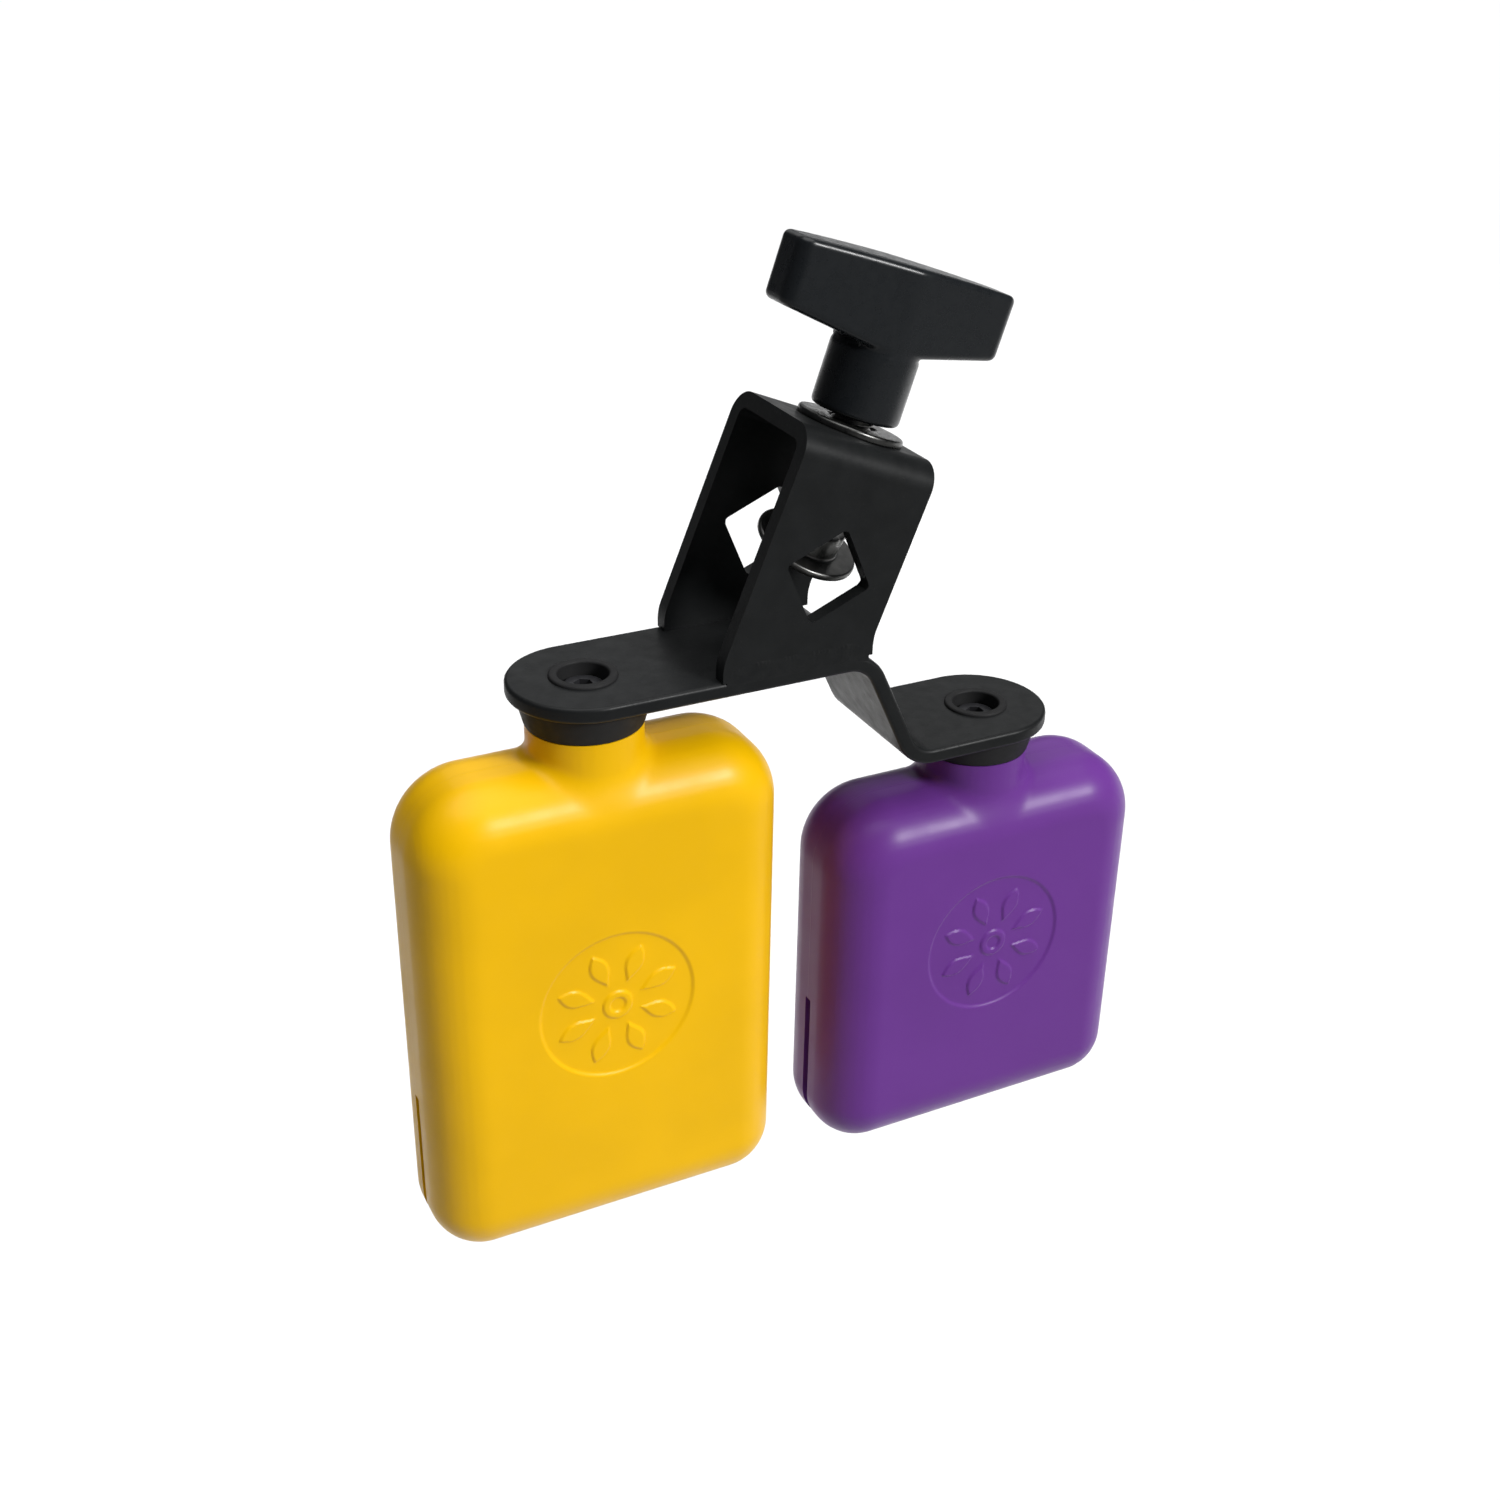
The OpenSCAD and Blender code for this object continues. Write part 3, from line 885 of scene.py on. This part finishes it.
def knob_shape():
    """Winged knob with its boss, in the screw's own axes."""
    knob = settings().knob
    shape = bmesh.new()
    corners = []
    for side in (-1, 1):
        corners.append((0.0, side * knob.ridge_low, knob.wing))
        corners.append((0.0, side * knob.ridge_top, knob.top))
        for end in (-1, 1):
            corners.append((end * knob.half, side * knob.tip_depth, knob.tip))
            corners.append((end * knob.half, side * knob.tip_depth, knob.top - knob.crown))
    points = [shape.verts.new(corner) for corner in corners]
    bmesh.ops.convex_hull(shape, input=points)
    joined(shape, rod_shape(knob.boss, knob.low, knob.wing + 1 * MM))
    shape = even_cells(shape, 0.42 * MM)
    settle_shape(shape, knob_field)
    return shape


def foot_place():
    """Frame of the hanging foot, about the ball's centre."""
    return Matrix.Translation(BALL) @ SCREW_TURN @ Matrix.Rotation(FOOT_TILT, 4, "X")


def foot_shape():
    """Round pressure foot with its cup."""
    cup = quarter(4.35, 0, -90, 8)
    rim = [(0.0, -4.6, 0), (9.8, -4.6, 0.5), (9.8, -3.2, 0.5), (5.6, -3.2, 0.5), (5.6, 0.0, 0)]
    return turned(rim + cup, 96, closed=False)


def retainer_shape():
    """Crimped ring over the ball seat, with six crimp dimples."""
    shape = turned([(4.35, 0.0, 0), (5.6, 0.0, 0), (5.6, 1.5, 0.45), (4.08, 1.5, 0.15)], 96)
    for vert in shape.verts:
        out = math.hypot(vert.co.x, vert.co.y)
        if out > 5.2 * MM:
            beat = max(0.0, math.cos(6 * math.atan2(vert.co.y, vert.co.x)) - 0.75) / 0.25
            shrink = 1 - 0.05 * beat * min(1.0, vert.co.z / (1 * MM))
            vert.co.x *= shrink
            vert.co.y *= shrink
    return shape


def grommet_shape():
    """Rubber grommet, from the strip's top."""
    bore = [(3.45, -8.7, 0), (3.45, SLEEVE_HEAD, 0), (4.6, SLEEVE_HEAD, 0.2)]
    lip = [(4.6, 0.55, 0.45), (6.3, 0.55, 0.5), (6.3, 0.0, 0)]
    collar = [(5.25, 0.0, 0), (5.25, -3.0, 0), (12.4, -3.0, 0.6), (10.9, -8.7, 0.5)]
    return turned(bore + lip + collar, 128)


def block_screw_shape():
    """Pan-head screw with a hexagon socket, from the strip's top."""
    shank = [(0.0, -21.8, 0), (2.5, -21.8, 0.4), (2.5, -3.8, 0)]
    head = [(4.0, -3.8, 0.15), (4.0, -1.6, 0.9), (0.0, -1.6, 0)]
    shape = turned(shank + head, 64, closed=False)
    return carved(loose("screw", shape), [rod_shape(1.8 * MM, -3.0 * MM, 0.0, 6)])


def block_field(height):
    """Field of a block's rounded body and neck, from the body's top."""
    block = settings().block

    def field(points):
        across, depth, up = points.T
        corner = np.where(up > -height / 2, block.top_corner, block.low_corner) - block.edge
        out = np.abs(across) - (block.half_width - block.edge) + corner
        rise = np.abs(up + height / 2) - (height / 2 - block.edge) + corner
        plan = np.minimum(np.maximum(out, rise), 0.0) - corner
        plan = plan + np.hypot(np.maximum(out, 0.0), np.maximum(rise, 0.0))
        thick = np.abs(depth) - (block.half_depth - block.edge)
        body = np.minimum(np.maximum(plan, thick), 0.0) - block.edge
        body = body + np.hypot(np.maximum(plan, 0.0), np.maximum(thick, 0.0))
        neck = np.maximum(np.hypot(across, depth) - block.neck, -up - 12 * MM)
        return round_join(body, neck, block.fillet)

    return field


def smooth_step(value):
    """Eases a number from 0 to 1."""
    value = np.clip(value, 0.0, 1.0)
    return value * value * (3 - 2 * value)


def mark_relief(below):
    """A round recess with a raised rosette, on the front face."""
    block = settings().block

    def relief(points):
        front = points[:, 1] < -block.half_depth + 0.3 * MM
        across = points[:, 0]
        up = points[:, 2] + below
        out = np.hypot(across, up)
        turn = np.arctan2(up, across)
        recess = smooth_step((block.mark - out) / (0.7 * MM))
        width = 0.55 * np.sin(math.pi * np.clip((out - 4.5 * MM) / (8.5 * MM), 0.0, 1.0))
        swing = np.abs((turn * block.petals / math.tau) % 1.0 - 0.5) * 2
        petal = smooth_step((width - swing) * out * math.pi / block.petals / (0.5 * MM))
        hub = smooth_step((3.2 * MM - out) / (0.5 * MM)) * smooth_step((out - 1.3 * MM) / (0.5 * MM))
        depth = block.mark_depth * recess * (1 - np.maximum(petal, hub))
        points[:, 1] += np.where(front, depth, 0.0)
        return points

    return relief


def block_shape(height, below):
    """Hollow block with its neck, slot and mark, from the body's top."""
    block = settings().block
    wide = block.half_width
    deep = block.half_depth
    shape = box_shape((-wide, -deep, -height), (wide, deep, 0.0))
    soften(shape, shape.edges[:], block.edge * 0.9, 4)
    joined(shape, rod_shape(block.neck, -5 * MM, block.neck_height + 3 * MM))
    shape = even_cells(shape, block.cell)
    marked = set()
    for face in shape.faces:
        spot = face.calc_center_median()
        near = math.hypot(spot.x, spot.z + below) < block.mark + 1 * MM
        if near and spot.y < -deep + 1 * MM:
            marked.update(face.edges)
    bmesh.ops.subdivide_edges(shape, edges=list(marked), cuts=2, use_grid_fill=True)
    settle_shape(shape, block_field(height), mark_relief(below))
    cut_level(shape, UPRIGHT * block.neck_height)
    bmesh.ops.recalc_face_normals(shape, faces=shape.faces)
    wall = block.wall
    half = block.slot / 2
    left = -wide - 1 * MM
    inside = box_shape((wall - wide, wall - deep, wall - height), (wide - wall, deep - wall, -wall - 6 * MM))
    soften(inside, inside.edges[:], block.edge - wall, 6)
    bore = rod_shape(block.bore, block.neck_height - block.bore_depth, block.neck_height + 1 * MM)
    side = box_shape((left, -half, 3 * MM - height), (wall + 2 * MM - wide, half, block.slot_up - height))
    end = (block.slot_along - wide, half, wall + 2.2 * MM - height)
    under = box_shape((left, -half, -1 * MM - height), end)
    return carved(loose("block", shape), [inside, bore, side, under])


# ----------------------------------------------------------------- operators


class BLOCKS_OT_strip(bpy.types.Operator):
    """Build the stepped steel strip"""

    bl_idname = "blocks.strip"
    bl_label = "Stepped strip"

    def execute(self, context):
        coat = powder_coat()
        finish_piece("strip", strip_shape(), "frame", ["bracket_strip"], coat)
        return {"FINISHED"}


class BLOCKS_OT_strap(bpy.types.Operator):
    """Build the welded clamp strap and its two weld beads"""

    bl_idname = "blocks.strap"
    bl_label = "Clamp strap"

    def execute(self, context):
        coat = bpy.data.materials.get("powder_coat") or powder_coat()
        weld = weld_coat()
        finish_piece("strap", strap_shape(), "frame", ["clamp_strap"], coat)
        for side, name in ((-1, "front_weld"), (1, "back_weld")):
            finish_piece(name, bead_shape(side), "frame", [f"{name}_bead"], weld)
        return {"FINISHED"}


class BLOCKS_OT_nut(bpy.types.Operator):
    """Build the flanged threaded bush"""

    bl_idname = "blocks.nut"
    bl_label = "Clamp nut"

    def execute(self, context):
        lean = Matrix.Rotation(settings().strap.lean, 4, "Y")
        place = lean @ Matrix.Translation((nut_offset(), 0.0, 0.0))
        middle = strap_across() * nut_offset()
        # Painted shade: the bush's zinc is darkened to a third, for the dark surroundings its flange
        # reflects.
        steel = turned_steel("nut_zinc_painted_shade", scaled(settings().finish.zinc, 0.34), 0.3, middle, strap_up())
        finish_piece("nut", nut_shape(), "frame", ["clamp_nut"], steel, place)
        return {"FINISHED"}


class BLOCKS_OT_screw(bpy.types.Operator):
    """Build the clamp screw with its thread and ball"""

    bl_idname = "blocks.screw"
    bl_label = "Clamp screw"

    def execute(self, context):
        place = Matrix.Translation(BALL) @ SCREW_TURN
        steel = turned_steel("screw_zinc", settings().finish.zinc, 0.32, BALL, SCREW_AXIS)
        finish_piece("screw", screw_shape(), "screw", ["clamp_screw"], steel, place)
        return {"FINISHED"}


class BLOCKS_OT_knob(bpy.types.Operator):
    """Build the winged knob"""

    bl_idname = "blocks.knob"
    bl_label = "Knob"

    def execute(self, context):
        plastic = knob_plastic()
        place = Matrix.Translation(BALL - SCREW_AXIS * BALL.dot(SCREW_AXIS)) @ SCREW_TURN
        finish_piece("winged_knob", knob_shape(), "screw", ["knob"], plastic, place)
        return {"FINISHED"}


class BLOCKS_OT_foot(bpy.types.Operator):
    """Build the swivelling foot and finish its ball seat"""

    bl_idname = "blocks.foot"
    bl_label = "Pressure foot"

    def execute(self, context):
        place = foot_place()
        axis = place.to_3x3() @ UPRIGHT
        steel = turned_steel("foot_zinc", scaled(settings().finish.zinc, 0.7), 0.36, BALL, axis)
        finish_piece("foot_disc", foot_shape(), "foot", ["pressure_foot"], steel, place)
        finish_piece("foot_ring", retainer_shape(), "foot", ["foot_retainer"], steel, place)
        dress_node("ball_seat", plain_finish("seat_nylon", (0.80, 0.78, 0.72), 0.5, 0.0, 0.4 * MM))
        return {"FINISHED"}


class BLOCKS_OT_grommets(bpy.types.Operator):
    """Build the two rubber grommets"""

    bl_idname = "blocks.grommets"
    bl_label = "Grommets"

    def execute(self, context):
        material = rubber()
        for name, axis in BLOCK_AXES:
            place = Matrix.Translation(plate_top(axis))
            nodes = [f"{name}_grommet"]
            finish_piece(f"{name}_rubber", grommet_shape(), "frame", nodes, material, place)
        return {"FINISHED"}


class BLOCKS_OT_hardware(bpy.types.Operator):
    """Build the block screws and washers and finish the spacers and inserts"""

    bl_idname = "blocks.hardware"
    bl_label = "Block screws"

    def execute(self, context):
        black = plain_finish("oxide_steel", (0.045, 0.045, 0.05), 0.38, 0.6, 0.3 * MM)
        brass = plain_finish("turned_brass", (0.72, 0.52, 0.22), 0.34, 1.0, 0.3 * MM)
        zinc = plain_finish("spacer_zinc", settings().finish.zinc, 0.34, 1.0, 0.3 * MM)
        low, high = SLEEVE_HEAD, SLEEVE_HEAD + 0.8
        washer = [(2.55, low, 0), (4.4, low, 0.12), (4.4, high, 0.2), (2.55, high, 0.1)]
        for name, axis in BLOCK_AXES:
            place = Matrix.Translation(plate_top(axis))
            body = f"{name}_block"
            node = f"{name}_block_screw"
            finish_piece(f"{name}_bolt", block_screw_shape(), body, [node], black, place)
            node = f"{name}_washer"
            finish_piece(f"{name}_disc", turned(washer, 64), body, [node], zinc, place)
            dress_node(f"{name}_spacer", zinc)
            dress_node(f"{name}_neck_insert", brass)
        return {"FINISHED"}


def build_block(name, axis, height, below, base):
    """Builds one block and its finish."""
    node = f"{name}_block_shell"
    material = block_plastic(f"{name}_moulding", base)
    body_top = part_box(node)[1].z - settings().block.neck_height
    place = Matrix.Translation((axis.x, 0.0, body_top))
    shape = block_shape(height, below)
    finish_piece(f"{name}_hollow_block", shape, f"{name}_block", [node], material, place)


class BLOCKS_OT_low_block(bpy.types.Operator):
    """Build the low hollow block"""

    bl_idname = "blocks.low_block"
    bl_label = "Low block"

    def execute(self, context):
        block = settings().block
        build_block("low", LOW_AXIS, block.low_height, block.low_mark, settings().finish.low)
        return {"FINISHED"}


class BLOCKS_OT_high_block(bpy.types.Operator):
    """Build the high hollow block"""

    bl_idname = "blocks.high_block"
    bl_label = "High block"

    def execute(self, context):
        block = settings().block
        build_block("high", HIGH_AXIS, block.high_height, block.high_mark, settings().finish.high)
        return {"FINISHED"}


def towards(heading, rise):
    """Direction at a heading right of the front and a rise above the floor, in degrees."""
    turn = math.radians(heading)
    flat = math.cos(math.radians(rise))
    return Vector((math.sin(turn) * flat, -math.cos(turn) * flat, math.sin(math.radians(rise))))


def hang(lamp, way, spot=(0.0, 0.0, 0.0)):
    """Hangs a lamp at a spot, so that it shines from the given direction."""
    light = bpy.data.objects.new(lamp.name, lamp)
    bpy.context.collection.objects.link(light)
    light.location = spot
    light.rotation_euler = way.to_track_quat("Z", "Y").to_euler()


def far_light(name, heading, rise, spread_angle, strength):
    """An even soft light from far away, as wide as the given angle."""
    lamp = bpy.data.lights.new(name, "SUN")
    lamp.angle = math.radians(spread_angle)
    lamp.energy = strength
    hang(lamp, towards(heading, rise))


def softbox(name, heading, rise, distance, wide, tall, power):
    """A near area light that looks at the part."""
    lamp = bpy.data.lights.new(name, "AREA")
    lamp.shape = "RECTANGLE"
    lamp.size = wide
    lamp.size_y = tall
    lamp.energy = power
    way = towards(heading, rise)
    hang(lamp, way, Vector((0.0, 0.0, -0.04)) + way * distance)


def floor_paper():
    """Pale paper with painted shade, greyer towards the front and the left."""
    pale = settings().finish.floor
    paper = Finish("floor_paper", pale, 0.9, specular=0.0)
    x, y, _ = paper.parts()
    front = paper.span(y, -0.6, 0.05, 0.0, 1.0)
    across = paper.sums("SUBTRACT", x, paper.sums("MULTIPLY", y, 0.13))
    left = paper.span(across, -0.95, -0.3, 0.0, 1.0)
    # Painted shade: the paper darkens towards the front and the left, so the blocks' left sides get less
    # bounce and reflection.
    paper.tint(paper.sums("MULTIPLY", front, left), scaled(pale, 0.3), pale)
    paper.bump(paper.noise(40 * MM, 2.0), 0.1 * MM, 0.1)
    return paper.material


class BLOCKS_OT_stage(bpy.types.Operator):
    """Set the floor, the lights and the camera"""

    bl_idname = "blocks.stage"
    bl_label = "Stage"

    def execute(self, context):
        scene = context.scene
        shape = bmesh.new()
        bmesh.ops.create_grid(shape, x_segments=1, y_segments=1, size=40.0)
        bmesh.ops.translate(shape, vec=UPRIGHT * FLOOR_HEIGHT, verts=shape.verts)
        floor = loose("floor", shape)
        floor.data.materials.append(floor_paper())
        far_light("key", 30.0, 30.0, 17.0, 3.0)
        far_light("overhead", 0.0, 88.0, 60.0, 1.9)
        softbox("sheen", 153.0, 34.0, 2.4, 2.4, 1.4, 7.0)
        world = bpy.data.worlds.new("studio")
        scene.world = world
        world.use_nodes = True
        sky = world.node_tree.nodes["Background"].inputs
        sky["Color"].default_value = (0.9, 0.92, 1.0, 1.0)
        sky["Strength"].default_value = 0.05
        scene.view_settings.view_transform = "Standard"
        scene.view_settings.look = "None"
        lens = bpy.data.cameras.new("camera")
        lens.lens = LENS
        lens.sensor_width = 36.0
        lens.clip_start = 0.01
        camera = bpy.data.objects.new("camera", lens)
        context.collection.objects.link(camera)
        camera.location = LOOKED_AT + towards(VIEW_HEADING, VIEW_RISE) * VIEW_DISTANCE
        turn = Matrix.Rotation(math.radians(VIEW_HEADING), 4, "Z")
        turn = turn @ Matrix.Rotation(math.radians(90.0 - VIEW_RISE), 4, "X")
        turn = turn @ Matrix.Rotation(math.radians(VIEW_ROLL), 4, "Z")
        camera.rotation_euler = turn.to_euler()
        scene.camera = camera
        return {"FINISHED"}


class BLOCKS_PT_panel(bpy.types.Panel):
    """Lists the settings and the build steps"""

    bl_idname = "BLOCKS_PT_panel"
    bl_label = "Percussion blocks"
    bl_space_type = "VIEW_3D"
    bl_region_type = "UI"
    bl_category = "Blocks"

    def draw(self, context):
        column = self.layout.column(align=True)
        for step in STEPS:
            column.operator(step.bl_idname)
        every = context.scene.percussion_blocks
        for name in ("strip", "strap", "knob", "block", "finish"):
            box = self.layout.box()
            box.label(text=name.capitalize())
            group = getattr(every, name)
            for key in group.__annotations__:
                box.prop(group, key)


STEPS = (
    BLOCKS_OT_strip,
    BLOCKS_OT_strap,
    BLOCKS_OT_nut,
    BLOCKS_OT_screw,
    BLOCKS_OT_knob,
    BLOCKS_OT_foot,
    BLOCKS_OT_grommets,
    BLOCKS_OT_hardware,
    BLOCKS_OT_low_block,
    BLOCKS_OT_high_block,
    BLOCKS_OT_stage,
)
CLASSES = (
    StripSettings,
    StrapSettings,
    KnobSettings,
    BlockSettings,
    FinishSettings,
    BlocksSettings,
    *STEPS,
    BLOCKS_PT_panel,
)


def register():
    """Registers the settings, the steps and the panel."""
    for kind in CLASSES:
        bpy.utils.register_class(kind)
    bpy.types.Scene.percussion_blocks = PointerProperty(type=BlocksSettings)


def unregister():
    """Takes them off again."""
    del bpy.types.Scene.percussion_blocks
    for kind in reversed(CLASSES):
        bpy.utils.unregister_class(kind)


def main():
    """Builds every piece in order."""
    register()
    bpy.ops.blocks.strip()
    bpy.ops.blocks.strap()
    bpy.ops.blocks.nut()
    bpy.ops.blocks.screw()
    bpy.ops.blocks.knob()
    bpy.ops.blocks.foot()
    bpy.ops.blocks.grommets()
    bpy.ops.blocks.hardware()
    bpy.ops.blocks.low_block()
    bpy.ops.blocks.high_block()
    bpy.ops.blocks.stage()


if __name__ == "__main__":
    main()
